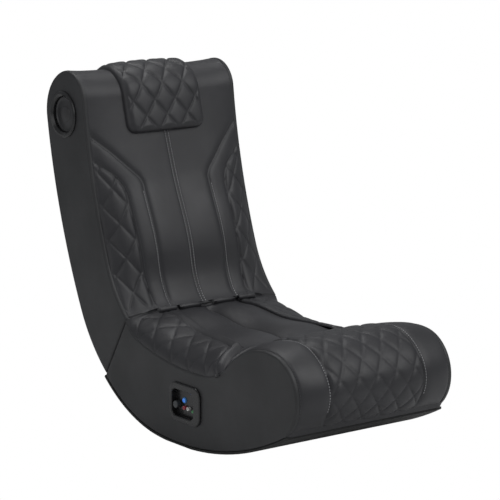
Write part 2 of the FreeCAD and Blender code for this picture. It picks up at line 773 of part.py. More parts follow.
# Turned parts: outlines of (radius, distance from the middle plane)
def turned(name, outline, y, z, side):
    """Body of revolution about an axis along X."""
    body = doc.addObject("PartDesign::Body", name)
    sketch = body.newObject("Sketcher::SketchObject", name + "_sketch")
    plane = [item for item in body.Origin.OriginFeatures if item.Role == "XZ_Plane"][0]
    sketch.AttachmentSupport = (plane, [""])
    sketch.MapMode = "FlatFace"
    count = len(outline)
    for index in range(count):
        start, end = outline[index], outline[(index + 1) % count]
        sketch.addGeometry(Part.LineSegment(Vector(number(start[0]), number(start[1]), 0),
                                            Vector(number(end[0]), number(end[1]), 0)), False)
    for index in range(count):
        sketch.addConstraint(Sketcher.Constraint("Coincident", index, 2, (index + 1) % count, 1))
    for index, point in enumerate(outline):
        for kind, value in zip(("DistanceX", "DistanceY"), point):
            row = sketch.addConstraint(Sketcher.Constraint(kind, -1, 1, index, 1, number(value)))
            if isinstance(value, Size):
                sketch.setExpression("Constraints[%d]" % row, value.text)
    turn = body.newObject("PartDesign::Revolution", name + "_turn")
    turn.Profile = sketch
    turn.ReferenceAxis = (sketch, ["V_Axis"])
    turn.Angle = 360
    body.Tip = turn
    return place(body, 0, y, z, FreeCAD.Rotation(Vector(0, 0, 1), Vector(side, 0, 0)))


def speaker_screws(side, more=0.0):
    made = []
    face = number(HALF) + 5
    for angle in (40, 140, 220, 320):
        y = number(size("speaker_y")) + 50.3 * math.cos(math.radians(angle))
        z = number(size("speaker_z")) + 50.3 * math.sin(math.radians(angle))
        point = Vector(side * (face + more), y, z)
        made.append(screw(point, Vector(-side, 0, 0), 1.3 + more, 14 + more, 2.3 + more, 1.6 + more))
    return made


def speakers():
    ring, spigot = size("speaker_outer"), size("speaker_spigot")
    for side in (-1, 1):
        y, z = size("speaker_y"), size("speaker_z")
        bezel = ((spigot, HALF - 14), (spigot, HALF), (ring, HALF), (ring, HALF + 3), (ring - 2, HALF + 5),
                 (ring - 6.5, HALF + 5.5), (spigot - 4.5, HALF + 1), (spigot - 4.5, HALF - 14))
        body = turned(side_name("SpeakerBezel", side), bezel, y, z, side)
        node(side_name("speaker_bezel", side), cut(body, speaker_screws(side, 0.1)))
        grille = ((0, HALF - 5), (14, HALF - 5.6), (29, HALF - 7.5), (41.7, HALF - 10.5), (41.7, HALF - 12),
                  (29, HALF - 9), (14, HALF - 7.1), (0, HALF - 6.5))
        node(side_name("speaker_grille", side), turned(side_name("SpeakerGrille", side), grille, y, z, side))
        driver = ((0, HALF - 42), (21, HALF - 42), (21, HALF - 31), (36, HALF - 16), (41.7, HALF - 16),
                  (41.7, HALF - 12.2), (34, HALF - 12.2), (18, HALF - 25), (0, HALF - 25))
        node(side_name("speaker_driver", side), turned(side_name("SpeakerDriver", side), driver, y, z, side))
        screws = feature(side_name("SpeakerScrews", side), Part.makeCompound(speaker_screws(side)))
        node(side_name("speaker_screws", side), screws)


# Control panel on the left side: (y, z) corners of its parts and centres of its controls
PANEL_OUTER = (-136, 56, -22, 144)
PANEL_OPEN = (-112, 68, -30.5, 128)
PANEL_HOLE = (-115.6, 64.4, -26.9, 131.6)
KNOB_AT = (-42, 92)
BUTTON_AT = (-63.5, 104)
PHONO_AT = ((-67, 88), (-82, 88.5))
PHONE_AT = (-94, 84)
INLET_AT = (-52, 76)


def rounded(corners, radius):
    """Side view rectangle with rounded corners."""
    y0, z0, y1, z1 = corners
    centres = ((y1 - radius, z1 - radius, 0), (y0 + radius, z1 - radius, 90),
               (y0 + radius, z0 + radius, 180), (y1 - radius, z0 + radius, 270))
    edges = []
    for y, z, angle in centres:
        centre = Vector(0, y, z)
        edges.append(Part.Arc(*[centre + direction(angle + turn) * radius for turn in (0, 45, 90)]).toShape())
    return closed_face(edges)


def grown(corners, by):
    return (corners[0] - by, corners[1] - by, corners[2] + by, corners[3] + by)


def bezel_screws(more=0.0):
    made = []
    for y, z in ((-120, 133), (-120, 66), (-31.5, 131), (-31.5, 66)):
        point = Vector(-number(HALF) - 5.3 - more, y, z)
        made.append(screw(point, Vector(1, 0, 0), 1.4 + more, 14 + more, 2.5 + more, 2 + more))
    return made


def control_panel():
    opening = rounded(PANEL_OPEN, 14)
    ring = rounded(PANEL_OUTER, 22).cut(opening)
    collar = rounded(grown(PANEL_OPEN, 3), 17).cut(opening)
    face = slab("ControlRing", ring, -HALF - 5.5, 5.5)
    doc.recompute()
    outer = [(index, 3, 3) for index, item in enumerate(face.Shape.Edges, start=1)
             if item.BoundBox.XMax < -number(HALF) - 5.4]
    rounding = doc.addObject("Part::Fillet", "ControlRing_round")
    rounding.Base = face
    rounding.Edges = outer
    spigot = slab("ControlCollar", collar, -HALF, 18)
    joined = doc.addObject("Part::Fuse", "ControlBezel")
    joined.Base, joined.Tool = rounding, spigot
    node("control_bezel", cut(joined, bezel_screws(0.1)))
    node("control_screws", feature("ControlScrews", Part.makeCompound(bezel_screws())))
    plate_face = rounded(grown(PANEL_OPEN, -GAP), 14 - GAP)
    plate = slab("ControlPlate", plate_face, -size("panel_face"), size("plate_thick"))
    holes = []
    spots = [(KNOB_AT, 3.6), (BUTTON_AT, 6.6), (PHONO_AT[0], 4.4), (PHONO_AT[1], 4.4),
             (PHONE_AT, 3.3), (INLET_AT, 4.4)]
    for (y, z), radius in spots:
        holes.append(rod(Vector(-230, y, z), Vector(1, 0, 0), radius, 40))
    node("control_plate", cut(plate, holes))


def amplifier():
    board, back = size("board_face"), size("panel_face") - size("plate_thick") - 0.1
    outer = rounded((-124, 52, -18, 142), 4)
    case = slab("AmplifierBox", outer, -size("board_face") - 0.4, 42)
    room = solid(rounded((-122, 54, -20, 140), 3), -195, -146.8)
    node("amplifier_case", cut(case, [room]))
    node("amplifier_board", slab("AmplifierBoard", rounded((-121, 55, -21, 139), 3), -board, size("board_thick")))
    for label, name, spot in (("phono_socket_red", "PhonoRed", PHONO_AT[0]),
                              ("phono_socket_white", "PhonoWhite", PHONO_AT[1])):
        outline = ((0, board), (5.5, board), (5.5, back), (4.15, back), (4.15, 213), (1.65, 213),
                   (1.65, 203), (0, 203))
        node(label, turned(name, outline, spot[0], spot[1], -1))
    outline = ((0, board), (5, board), (5, back), (3.1, back), (3.1, 208.5), (1.77, 208.5), (1.77, 193), (0, 193))
    node("headphone_socket", turned("HeadphoneSocket", outline, PHONE_AT[0], PHONE_AT[1], -1))
    outline = ((0, board), (6, board), (6, back), (4.2, back), (4.2, 208.2), (2.8, 208.2), (2.8, 198.5),
               (1.05, 198.5), (1.05, 207.5), (0, 207.5))
    node("power_inlet", turned("PowerInlet", outline, INLET_AT[0], INLET_AT[1], -1))
    outline = ((0, board), (8, board), (8, 203), (3.5, 203), (3.5, 207.4), (3.05, 207.4), (3.05, 197), (0, 197))
    node("volume_pot", turned("VolumePot", outline, KNOB_AT[0], KNOB_AT[1], -1))
    outline = ((0, 197.2), (3, 197.2), (3, 214.5), (0, 214.5))
    node("volume_shaft", turned("VolumeShaft", outline, KNOB_AT[0], KNOB_AT[1], -1))
    knob = size("knob_radius")
    outline = ((3.03, 208), (knob, 208), (knob, 217), (knob - 1.2, 218.6), (0, 218.6), (0, 214.7), (3.03, 214.7))
    node("volume_knob", turned("VolumeKnob", outline, KNOB_AT[0], KNOB_AT[1], -1))
    button = size("button_radius")
    stop = back - size("button_travel") - 0.5
    outline = ((0, stop), (button + 1.1, stop), (button + 1.1, back), (button, back), (button, 209),
               (button - 0.8, 209.6), (0, 209.6))
    node("power_button", turned("PowerButton", outline, BUTTON_AT[0], BUTTON_AT[1], -1))
    outline = ((0, board), (6, board), (6, stop - size("button_travel") - 0.4),
               (0, stop - size("button_travel") - 0.4))
    node("power_switch", turned("PowerSwitch", outline, BUTTON_AT[0], BUTTON_AT[1], -1))


seat_frame()
base()
seat_side_pads()
seat_padding()
back_frame()
back_cushion()
headrest_pad()
back_side_pads()
hinges()
speakers()
control_panel()
amplifier()
doc.recompute()

# Checks and files
for obj in doc.Objects:
    if "Invalid" in obj.State or "Error" in obj.State:
        raise RuntimeError("%s is %s" % (obj.Name, obj.State))
os.makedirs("parts", exist_ok=True)
for name, obj in NODES.items():
    shape = obj.Shape
    if shape.isNull() or not shape.isValid() or not shape.Solids:
        raise RuntimeError("%s has no valid solid" % name)
    shape.exportStep("parts/%s.step" % name)
    box = shape.BoundBox
    print("%-24s solids %2d volume %8.1f cm3  x %.0f..%.0f y %.0f..%.0f z %.0f..%.0f" % (
        name, len(shape.Solids), shape.Volume / 1000, box.XMin, box.XMax, box.YMin, box.YMax, box.ZMin, box.ZMax))
print(len(NODES), "nodes")
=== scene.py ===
# Gaming rocker chair in black quilted faux leather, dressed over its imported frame. Metres.
import json
import math

import bpy
import numpy as np
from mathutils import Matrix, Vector


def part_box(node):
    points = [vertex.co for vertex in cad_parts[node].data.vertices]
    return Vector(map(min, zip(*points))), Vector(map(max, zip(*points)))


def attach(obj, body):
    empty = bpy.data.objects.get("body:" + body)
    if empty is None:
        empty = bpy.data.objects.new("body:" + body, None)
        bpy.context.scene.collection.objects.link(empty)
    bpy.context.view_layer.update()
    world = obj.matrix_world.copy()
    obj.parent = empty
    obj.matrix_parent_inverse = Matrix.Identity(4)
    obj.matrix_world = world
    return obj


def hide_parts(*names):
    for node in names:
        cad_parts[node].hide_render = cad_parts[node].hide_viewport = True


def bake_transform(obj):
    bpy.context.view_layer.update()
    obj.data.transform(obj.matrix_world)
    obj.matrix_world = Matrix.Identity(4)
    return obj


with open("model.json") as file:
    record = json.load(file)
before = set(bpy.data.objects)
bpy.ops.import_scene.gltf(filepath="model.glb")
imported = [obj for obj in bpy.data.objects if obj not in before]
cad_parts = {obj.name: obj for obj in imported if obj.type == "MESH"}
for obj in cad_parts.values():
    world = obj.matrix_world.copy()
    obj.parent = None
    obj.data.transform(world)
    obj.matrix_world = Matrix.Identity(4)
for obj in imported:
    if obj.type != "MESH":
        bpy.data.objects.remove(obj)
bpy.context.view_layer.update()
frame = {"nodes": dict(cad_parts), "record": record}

# Driving sizes
PANEL_HALF = 0.2105
PANEL_WALL = 0.006
THREAD = 0.0009
STITCH = 0.0042
STITCH_PITCH = 0.0062
HINGE_AT = (0.1485, 0.2585)
DOWN_SPLIT = (0.5177, -0.8555)
REAR_OF_SPLIT = (0.8555, 0.5177)
SPEAKER_AT = (0.405, 0.689)
POWER_AT = (-0.0635, 0.104)
HEADREST_HALF = 0.108

# Side outlines of the padding: radius and turn in degrees of each arc, a positive turn to the left
CREASE = (0.155, 0.250)
BACK_ARCS = ((0.287, 27.8), (1.564, 13.9), (0.068, -101.4), (0.1017, -80.7))
SEAT_ARCS = ((0.072, -49.5), (0.705, -20.5), (0.151, -42.2), (0.183, 53.9), (0.0935, 128.3))

# Rise of the padding over the side outline at each arc's start, middle and end, and its share by x
BACK_CROWN = (0.0107, 0.0233, 0.0395, 0.025, 0.001, -0.005, -0.005, -0.005, -0.004)
BACK_SHARE = ((0, 0.95), (0.092, 1.0), (0.140, 0.85), (0.180, 0.5), (0.205, 0.1), (0.215, 0.0))
SEAT_BACKWARD = (-0.008, 0, 0, 0, 0, 0, 0, 0, 0, -0.014, 0)
SEAT_CROWN = (0.0078, 0.028, 0.042, 0.056, 0.0626, 0.049, 0.0297, 0.0135, 0.013, 0, 0)
SEAT_SHARE = ((0, 1.0), (0.092, 1.0), (0.120, 0.98), (0.160, 0.74), (0.190, 0.42), (0.205, 0.16),
              (0.215, 0.02))

# Seams of the back seen from the front (distance from the middle, height)
INNER_SEAM = ((0.090, 0.255), (0.092, 0.400), (0.092, 0.536), (0.099, 0.550), (0.112, 0.563),
              (0.157, 0.608), (0.222, 0.664))
OUTER_SEAM = ((0.131, 0.255), (0.138, 0.340), (0.140, 0.440), (0.140, 0.514), (0.144, 0.530),
              (0.153, 0.546), (0.165, 0.560), (0.222, 0.603))


class SideOutline:
    """Run of tangent arcs in the side view, read by the distance along it."""

    def __init__(self, start, heading, arcs):
        self.arcs = []
        self.marks = [0.0]
        point = np.array(start)
        for radius, turn in arcs:
            side = math.copysign(1, turn)
            left = math.radians(heading + 90)
            centre = point + np.array((math.cos(left), math.sin(left))) * radius * side
            self.arcs.append((centre[0], centre[1], radius * side, heading))
            heading += turn
            left = math.radians(heading + 90)
            point = centre - np.array((math.cos(left), math.sin(left))) * radius * side
            self.marks.append(self.marks[-1] + radius * math.radians(abs(turn)))
        self.length = self.marks[-1]
        halves = [(a + b) / 2 for a, b in zip(self.marks, self.marks[1:])]
        self.stops = np.array(sorted(self.marks + halves))
        self.arcs = np.array(self.arcs)

    def at(self, s):
        """y, z and heading in radians at distances s; past its end it runs on round the last arc."""
        s = np.asarray(s, float)
        index = np.clip(np.searchsorted(self.marks, s, side="right") - 1, 0, len(self.arcs) - 1)
        y0, z0, radius, heading = self.arcs[index].T
        turn = (s - np.array(self.marks)[index]) / np.abs(radius) * np.sign(radius)
        angle = np.radians(heading) + turn
        y = y0.T - np.cos(angle + math.pi / 2) * radius.T
        z = z0.T - np.sin(angle + math.pi / 2) * radius.T
        return y, z, angle


BACK = SideOutline(CREASE, 41.6, BACK_ARCS)
SEAT = SideOutline(CREASE, -112.8, SEAT_ARCS)


def eased(places, values, at):
    """Smooth curve through a table of places and values."""
    places, values = np.asarray(places, float), np.asarray(values, float)
    slope = np.gradient(values, places)
    at = np.clip(at, places[0], places[-1])
    low = np.clip(np.searchsorted(places, at) - 1, 0, len(places) - 2)
    gap = places[low + 1] - places[low]
    t = (at - places[low]) / gap
    return ((2 * t**3 - 3 * t**2 + 1) * values[low] + (t**3 - 2 * t**2 + t) * gap * slope[low]
            + (3 * t**2 - 2 * t**3) * values[low + 1] + (t**3 - t**2) * gap * slope[low + 1])


def eased_pairs(table, at):
    """Smooth curve through a table of pairs, the same on both sides of the middle."""
    return eased([place for place, _ in table], [value for _, value in table], np.abs(at))


def back_surface(x, s):
    """Point of the padded front of the back at x and at the distance s from the crease."""
    y, z, angle = BACK.at(s)
    rise = eased(BACK.stops, BACK_CROWN, s) * eased_pairs(BACK_SHARE, x)
    return x, y - np.sin(angle) * rise, z + np.cos(angle) * rise


def seat_surface(x, s):
    """Point of the padded top of the seat at x and at the distance s from the crease."""
    y, z, _ = SEAT.at(s)
    share = eased_pairs(SEAT_SHARE, x)
    rise = eased(SEAT.stops, SEAT_CROWN, s)
    forward = eased(SEAT.stops, SEAT_BACKWARD, s)
    return x, y + forward * share, z + rise * share


# Distances and relief
QUILT_SEAM_REACH = 0.0022


def distance_to(line, a, b):
    """Distance from points to a run of straight lines."""
    best = np.full(np.shape(a), 1e9)
    for (a0, b0), (a1, b1) in zip(line, line[1:]):
        da, db = a1 - a0, b1 - b0
        t = np.clip(((a - a0) * da + (b - b0) * db) / (da * da + db * db), 0, 1)
        best = np.minimum(best, np.hypot(a - a0 - t * da, b - b0 - t * db))
    return best


def line_at(line, height):
    """Distance from the middle of a rising seam at a height."""
    return np.interp(height, [z for _, z in line], [x for x, _ in line])


def sewn(distance, depth, reach):
    """A valley that a seam pulls into padding: a sharp fold with soft shoulders."""
    fold = 0.62 * np.exp(-distance / (reach * 0.3))
    shoulders = 0.38 * np.exp(-((distance / reach) ** 2))
    return -depth * (fold + shoulders)


def diamonds(a, b, wide, tall, depth, puff):
    """Sewn diamond lattice with a crossing at the origin; each diamond swells between its seams."""
    first = a / wide + b / tall
    second = a / wide - b / tall
    reach = 1 / math.hypot(1 / wide, 1 / tall)
    from_first = np.abs(first - np.round(first)) * reach
    from_second = np.abs(second - np.round(second)) * reach
    near = np.minimum(from_first, from_second)
    swell = np.abs(np.sin(math.pi * first) * np.sin(math.pi * second)) ** 0.6
    return puff * swell - depth * np.exp(-near / QUILT_SEAM_REACH)


def rolled_edge(distance, radius):
    """How far a padded border falls away as it turns over to its seam."""
    inside = np.clip(radius - distance, 0, radius)
    return np.sqrt(np.maximum(radius**2 - inside**2, 0)) - radius


def blended(low, high, value):
    """Smooth step from 0 at low to 1 at high."""
    t = np.clip((value - low) / (high - low), 0, 1)
    return t * t * (3 - 2 * t)


# Making and finishing meshes
def deselect():
    bpy.ops.object.select_all(action="DESELECT")


def choose(obj):
    deselect()
    bpy.context.view_layer.objects.active = obj
    obj.select_set(True)


def apply_all(obj):
    choose(obj)
    for modifier in list(obj.modifiers):
        bpy.ops.object.modifier_apply(modifier=modifier.name)


def finished(obj, name, material, smooth=40):
    """Names a piece, moves its place into its mesh, shades it smooth and gives it its material."""
    choose(obj)
    bpy.ops.object.transform_apply(location=True, rotation=True, scale=True)
    obj.name = name
    obj.data.name = name
    bpy.ops.object.shade_smooth_by_angle(angle=math.radians(smooth))
    obj.data.materials.clear()
    obj.data.materials.append(material)
    return obj


def bunched(t, amount):
    """Moves evenly spaced places toward both ends, where a padded border turns."""
    return t - amount * np.sin(2 * math.pi * t) / (2 * math.pi)


def padded_sheet(name, surface, place, relief, columns, rows, wall=PANEL_WALL, bunch=0.75):
    """Padded cover: a grid laid on a surface, raised along its normal by its relief, and closed behind.
    place turns the two places on the grid, each from 0 to 1, into the surface's own coordinates."""
    deselect()
    bpy.ops.mesh.primitive_grid_add(x_subdivisions=columns, y_subdivisions=rows, size=2)
    obj = bpy.context.object
    count = len(obj.data.vertices)
    flat = np.empty(count * 3)
    obj.data.vertices.foreach_get("co", flat)
    flat = flat.reshape(-1, 3)
    u = bunched((flat[:, 0] + 1) / 2, bunch)
    v = bunched((flat[:, 1] + 1) / 2, bunch)

    def laid(u, v):
        return np.stack(surface(*place(u, v)), axis=1)

    step = 0.002
    across = laid(u + step, v) - laid(u - step, v)
    along = laid(u, v + step) - laid(u, v - step)
    normal = np.cross(across, along)
    normal /= np.linalg.norm(normal, axis=1)[:, None]
    spot = laid(u, v)
    a, b = place(u, v)
    spot = spot + normal * relief(a, b, spot)[:, None]
    obj.data.vertices.foreach_set("co", spot.ravel())
    obj.data.update()
    if wall:
        solid = obj.modifiers.new("Wall", "SOLIDIFY")
        solid.thickness = wall
        solid.offset = -1
        apply_all(obj)
    obj.name = name
    return obj


def sewn_points(surface, relief, a, b, lift, turned=1):
    """Points along a line on a padded surface, lifted off its cover, and the normals there."""
    step = 0.0008
    spot = np.stack(surface(a, b), axis=1)
    across = np.stack(surface(a + step, b), axis=1) - np.stack(surface(a - step, b), axis=1)
    along = np.stack(surface(a, b + step), axis=1) - np.stack(surface(a, b - step), axis=1)
    normal = np.cross(across, along) * turned
    normal /= np.linalg.norm(normal, axis=1)[:, None]
    return spot + normal * (relief(a, b, spot) + lift)[:, None], normal


def thread(name, lines, material, body, length=STITCH, pitch=STITCH_PITCH, radius=THREAD):
    """Rows of stitches: one small rounded stitch repeated along each line of points and normals."""
    deselect()
    bpy.ops.mesh.primitive_uv_sphere_add(segments=6, ring_count=4, radius=1)
    stitch = bpy.context.object
    shape = np.array([v.co for v in stitch.data.vertices])
    faces = [tuple(p.vertices) for p in stitch.data.polygons]
    bpy.data.objects.remove(stitch)
    spots, polygons = [], []
    for points, normals in lines:
        gaps = np.linalg.norm(np.diff(points, axis=0), axis=1)
        along = np.concatenate(([0], np.cumsum(gaps)))
        for at in np.arange(pitch / 2, along[-1], pitch):
            centre = np.array([np.interp(at, along, points[:, k]) for k in range(3)])
            ahead = np.array([np.interp(at + 0.001, along, points[:, k]) for k in range(3)]) - centre
            ahead /= max(np.linalg.norm(ahead), 1e-9)
            up = np.array([np.interp(at, along, normals[:, k]) for k in range(3)])
            side = np.cross(up, ahead)
            start = len(shape) * len(spots)
            spots.append(centre + shape[:, :1] * side * radius + shape[:, 1:2] * up * radius * 0.7
                         + shape[:, 2:] * ahead * length / 2)
            polygons += [tuple(i + start for i in face) for face in faces]
    mesh = bpy.data.meshes.new(name)
    mesh.from_pydata(np.concatenate(spots).tolist(), [], polygons)
    obj = bpy.data.objects.new(name, mesh)
    bpy.context.collection.objects.link(obj)
    finished(obj, name, material, 80)
    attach(obj, body)
    return obj


# Materials
GIVEN_SOCKETS = (("Vector", "NodeSocketVector"), ("Color", "NodeSocketColor"),
                 ("Roughness", "NodeSocketFloat"))
LOOK_SOCKETS = (("Color", "NodeSocketColor"), ("Roughness", "NodeSocketFloat"),
                ("Normal", "NodeSocketVector"))


def effect(name):
    """New shader group with its sockets, returned with its input and output nodes."""
    tree = bpy.data.node_groups.new(name, "ShaderNodeTree")
    for label, kind in GIVEN_SOCKETS:
        tree.interface.new_socket(label, in_out="INPUT", socket_type=kind)
    for label, kind in LOOK_SOCKETS:
        tree.interface.new_socket(label, in_out="OUTPUT", socket_type=kind)
    return tree, tree.nodes.new("NodeGroupInput"), tree.nodes.new("NodeGroupOutput")


def texture(tree, kind, scale, vector, detail=2.0):
    """Noise or cell texture read at a vector."""
    node = tree.nodes.new(kind)
    node.inputs["Scale"].default_value = scale
    if "Detail" in node.inputs:
        node.inputs["Detail"].default_value = detail
    tree.links.new(vector, node.inputs["Vector"])
    return node


def mapped(tree, value, low, high, to_low, to_high):
    """A value moved from one range to another."""
    node = tree.nodes.new("ShaderNodeMapRange")
    node.inputs["From Min"].default_value = low
    node.inputs["From Max"].default_value = high
    node.inputs["To Min"].default_value = to_low
    node.inputs["To Max"].default_value = to_high
    tree.links.new(value, node.inputs["Value"])
    return node.outputs["Result"]


def combined(tree, operation, first, second):
    """Arithmetic on two values, each a number or a socket."""
    node = tree.nodes.new("ShaderNodeMath")
    node.operation = operation
    for socket, value in zip(node.inputs, (first, second)):
        if isinstance(value, (int, float)):
            socket.default_value = value
        else:
            tree.links.new(value, socket)
    return node.outputs["Value"]


def bumped(tree, height, strength, distance):
    """Normals of a fine relief."""
    node = tree.nodes.new("ShaderNodeBump")
    node.inputs["Strength"].default_value = strength
    node.inputs["Distance"].default_value = distance
    tree.links.new(height, node.inputs["Height"])
    return node.outputs["Normal"]


def scaled_color(tree, color, factor):
    """A colour made lighter or darker by a factor."""
    node = tree.nodes.new("ShaderNodeVectorMath")
    node.operation = "SCALE"
    tree.links.new(color, node.inputs[0])
    tree.links.new(factor, node.inputs["Scale"])
    return node.outputs["Vector"]


def leather_effect():
    """Fine pebbled grain with soft creases, faint mottling and rubbed patches."""
    tree, given, result = effect("Leather grain")
    vector = given.outputs["Vector"]
    cells = texture(tree, "ShaderNodeTexVoronoi", 620, vector)
    fine = texture(tree, "ShaderNodeTexNoise", 1300, vector, 3)
    creases = texture(tree, "ShaderNodeTexNoise", 34, vector, 5)
    mottle = texture(tree, "ShaderNodeTexNoise", 8, vector, 4)
    pebbles = combined(tree, "MULTIPLY", cells.outputs["Distance"], 0.8)
    grain = combined(tree, "ADD", pebbles, combined(tree, "MULTIPLY", fine.outputs["Fac"], 0.35))
    height = combined(tree, "ADD", grain, combined(tree, "MULTIPLY", creases.outputs["Fac"], 2.6))
    tree.links.new(bumped(tree, height, 0.22, 0.0007), result.inputs["Normal"])
    shade = mapped(tree, mottle.outputs["Fac"], 0.3, 0.7, 0.88, 1.14)
    tree.links.new(scaled_color(tree, given.outputs["Color"], shade), result.inputs["Color"])
    rubbed = mapped(tree, mottle.outputs["Fac"], 0.35, 0.75, 0.05, -0.05)
    tree.links.new(combined(tree, "ADD", given.outputs["Roughness"], rubbed), result.inputs["Roughness"])
    return tree


def moulded_effect():
    """Fine moulded texture with faint handling marks, for plastics, metal and rubber."""
    tree, given, result = effect("Moulded")
    vector = given.outputs["Vector"]
    fine = texture(tree, "ShaderNodeTexNoise", 1500, vector, 2)
    marks = texture(tree, "ShaderNodeTexNoise", 45, vector, 5)
    tree.links.new(bumped(tree, fine.outputs["Fac"], 0.12, 0.0003), result.inputs["Normal"])
    shade = mapped(tree, marks.outputs["Fac"], 0.3, 0.7, 0.94, 1.06)
    tree.links.new(scaled_color(tree, given.outputs["Color"], shade), result.inputs["Color"])
    dull = mapped(tree, marks.outputs["Fac"], 0.3, 0.7, -0.05, 0.07)
    tree.links.new(combined(tree, "ADD", given.outputs["Roughness"], dull), result.inputs["Roughness"])
    return tree


def wood_effect():
    """Straight plywood grain along X."""
    tree, given, result = effect("Plywood grain")
    stretch = tree.nodes.new("ShaderNodeMapping")
    stretch.inputs["Scale"].default_value = (0.08, 1, 1)
    tree.links.new(given.outputs["Vector"], stretch.inputs["Vector"])
    grain = texture(tree, "ShaderNodeTexNoise", 240, stretch.outputs["Vector"], 5)
    tree.links.new(bumped(tree, grain.outputs["Fac"], 0.3, 0.0004), result.inputs["Normal"])
    shade = mapped(tree, grain.outputs["Fac"], 0.3, 0.7, 0.72, 1.15)
    tree.links.new(scaled_color(tree, given.outputs["Color"], shade), result.inputs["Color"])
    tree.links.new(given.outputs["Roughness"], result.inputs["Roughness"])
    return tree


def surfaced(name, group, color, roughness, **constants):
    """Material whose colour, roughness and normal come from an effect on Object coordinates."""
    material = bpy.data.materials.new(name)
    material.use_nodes = True
    tree = material.node_tree
    shader = tree.nodes["Principled BSDF"]
    place = tree.nodes.new("ShaderNodeTexCoord")
    look = tree.nodes.new("ShaderNodeGroup")
    look.node_tree = group
    look.inputs["Color"].default_value = (*color, 1)
    look.inputs["Roughness"].default_value = roughness
    tree.links.new(place.outputs["Object"], look.inputs["Vector"])
    tree.links.new(look.outputs["Color"], shader.inputs["Base Color"])
    tree.links.new(look.outputs["Roughness"], shader.inputs["Roughness"])
    tree.links.new(look.outputs["Normal"], shader.inputs["Normal"])
    for label, value in constants.items():
        shader.inputs[label.replace("_", " ")].default_value = value
    return material


def lit(name, group, color, glow, strength):
    """Plastic with a light behind it."""
    material = surfaced(name, group, color, 0.35)
    shader = material.node_tree.nodes["Principled BSDF"]
    shader.inputs["Emission Color"].default_value = (*glow, 1)
    shader.inputs["Emission Strength"].default_value = strength
    return material


LEATHER_GRAIN = leather_effect()
MOULDED = moulded_effect()
PLY_GRAIN = wood_effect()
LEATHER = surfaced("black_leather", LEATHER_GRAIN, (0.024, 0.024, 0.027), 0.46)
SIDE_LEATHER = surfaced("black_side_leather", LEATHER_GRAIN, (0.024, 0.0245, 0.026), 0.5)
LINING = surfaced("black_lining", LEATHER_GRAIN, (0.018, 0.018, 0.019), 0.85)
THREAD_GREY = surfaced("grey_thread", MOULDED, (0.42, 0.42, 0.43), 0.7)
THREAD_DARK = surfaced("dark_thread", MOULDED, (0.06, 0.06, 0.065), 0.7)
BLACK_PLASTIC = surfaced("black_plastic", MOULDED, (0.013, 0.013, 0.014), 0.26)
CONE = surfaced("speaker_cone", MOULDED, (0.028, 0.028, 0.03), 0.34)
GREY_PLASTIC = surfaced("grey_plastic", MOULDED, (0.045, 0.05, 0.055), 0.4)
RUBBER = surfaced("black_rubber", MOULDED, (0.02, 0.02, 0.02), 0.8)
STEEL = surfaced("zinc_steel", MOULDED, (0.42, 0.42, 0.44), 0.35, Metallic=1.0)
DARK_SCREW = surfaced("black_screw", MOULDED, (0.05, 0.05, 0.055), 0.3, Metallic=0.8)
PLYWOOD = surfaced("plywood", PLY_GRAIN, (0.52, 0.37, 0.21), 0.65)
RED = surfaced("red_plastic", MOULDED, (0.42, 0.05, 0.07), 0.3)
WHITE = surfaced("white_plastic", MOULDED, (0.75, 0.75, 0.72), 0.3)
GREEN = surfaced("green_plastic", MOULDED, (0.10, 0.42, 0.16), 0.3)
DARK_CAP = lit("lit_cap", MOULDED, (0.02, 0.03, 0.06), (0.03, 0.14, 0.34), 0.45)
BLUE_LIGHT = lit("blue_light", MOULDED, (0.1, 0.3, 0.8), (0.10, 0.36, 0.85), 0.45)


def dress_frame():
    """Gives every carried-over node its material, by the record's slot."""
    by_slot = {"black_upholstery": SIDE_LEATHER, "plywood": PLYWOOD, "base_rubber": RUBBER,
               "steel": STEEL, "black_plastic": BLACK_PLASTIC, "grey_plastic": GREY_PLASTIC,
               "red_plastic": RED, "white_plastic": WHITE, "green_plastic": GREEN, "lit_plastic": DARK_CAP}
    wrapped = ("rocker_board", "back_rear_panel", "back_shoulder_rail", "back_support_panel",
               "seat_rear_rail", "back_bottom_rail", "seat_side_board_left", "seat_side_board_right",
               "back_side_board_left", "back_side_board_right")
    blackened = ("hinge_leaves_seat", "hinge_leaves_back", "hinge_pins", "speaker_screws_left",
                 "speaker_screws_right", "control_screws")
    special = {"seat_front_board": LEATHER, "speaker_driver_left": CONE, "speaker_driver_right": CONE}
    special.update({name: LINING for name in wrapped})
    special.update({name: DARK_SCREW for name in blackened})
    for part in frame["record"]["subparts"]:
        node = frame["nodes"][part["node"]]
        node.data.materials.clear()
        node.data.materials.append(special.get(part["node"], by_slot[part["material_slot"]]))
        choose(node)
        bpy.ops.object.shade_smooth_by_angle(angle=math.radians(35))


# Padding beside the crease
HINGE_COVER = (0.200, 0.150)
CREASE_TUCK = 0.004
FOLD_RISE = 0.001
BARREL_RISE = 0.0062
FOLD_REACH = 0.010


def crease_fold(x, distance):
    """Padding pushed up over the hinge barrels, tucked in at the very crease."""
    over = blended(*HINGE_COVER, np.abs(x))
    rise = (FOLD_RISE + BARREL_RISE * over) * np.exp(-distance / FOLD_REACH)
    return rolled_edge(distance, CREASE_TUCK) + rise


def near_crease(s, reach, least=0.0, start=0.004):
    """Share of its depth that a seam keeps beside the crease, where it eases off."""
    return least + (1 - least) * blended(start, reach, s)


# Surface tables
TABLE = np.linspace(0, 0.8, 1601)
BACK_ROWS = 1100
SEAT_ROWS = 1150
BACK_HEIGHTS = np.array(back_surface(np.full(TABLE.shape, 0.1), np.minimum(TABLE, 0.56)))[2]
SEAT_DEPTHS = np.array(seat_surface(np.zeros(TABLE.shape), TABLE))[1]


def back_at_height(z):
    """Distance from the crease at which the front of the back reaches a height."""
    return np.interp(z, BACK_HEIGHTS[:BACK_ROWS], TABLE[:BACK_ROWS])


